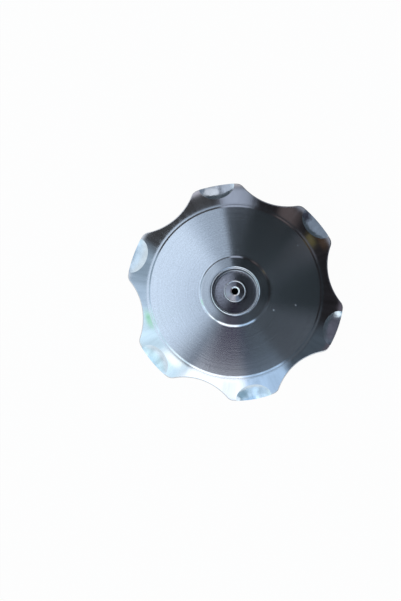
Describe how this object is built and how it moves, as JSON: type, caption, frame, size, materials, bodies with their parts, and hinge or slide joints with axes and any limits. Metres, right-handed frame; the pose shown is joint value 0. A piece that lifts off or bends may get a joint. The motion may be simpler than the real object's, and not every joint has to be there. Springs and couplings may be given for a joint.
{
  "type": "fuel filler cap",
  "caption": "Screw-on fuel filler cap turned and milled from aluminium, with a lobed and scooped grip flange, a turned top face, a vent nipple in a recess and a rubber seal inside.",
  "frame": {"origin": "centre of the skirt's lower end face, on the cap's axis", "axes": "+Z along the cap's axis, from the tank outwards, and +Y through the middle of one grip lobe"},
  "size_m": [0.0664, 0.07, 0.0207],
  "materials": {
    "cap_aluminium": "fine turned top face, polished grip",
    "nipple_aluminium": "plain turned",
    "seal_rubber": "matt"
  },
  "bodies": {
    "root": {"cap_body": "cap_aluminium", "vent_nipple": "nipple_aluminium", "neck_seal": "seal_rubber"}
  },
  "joints": []
}
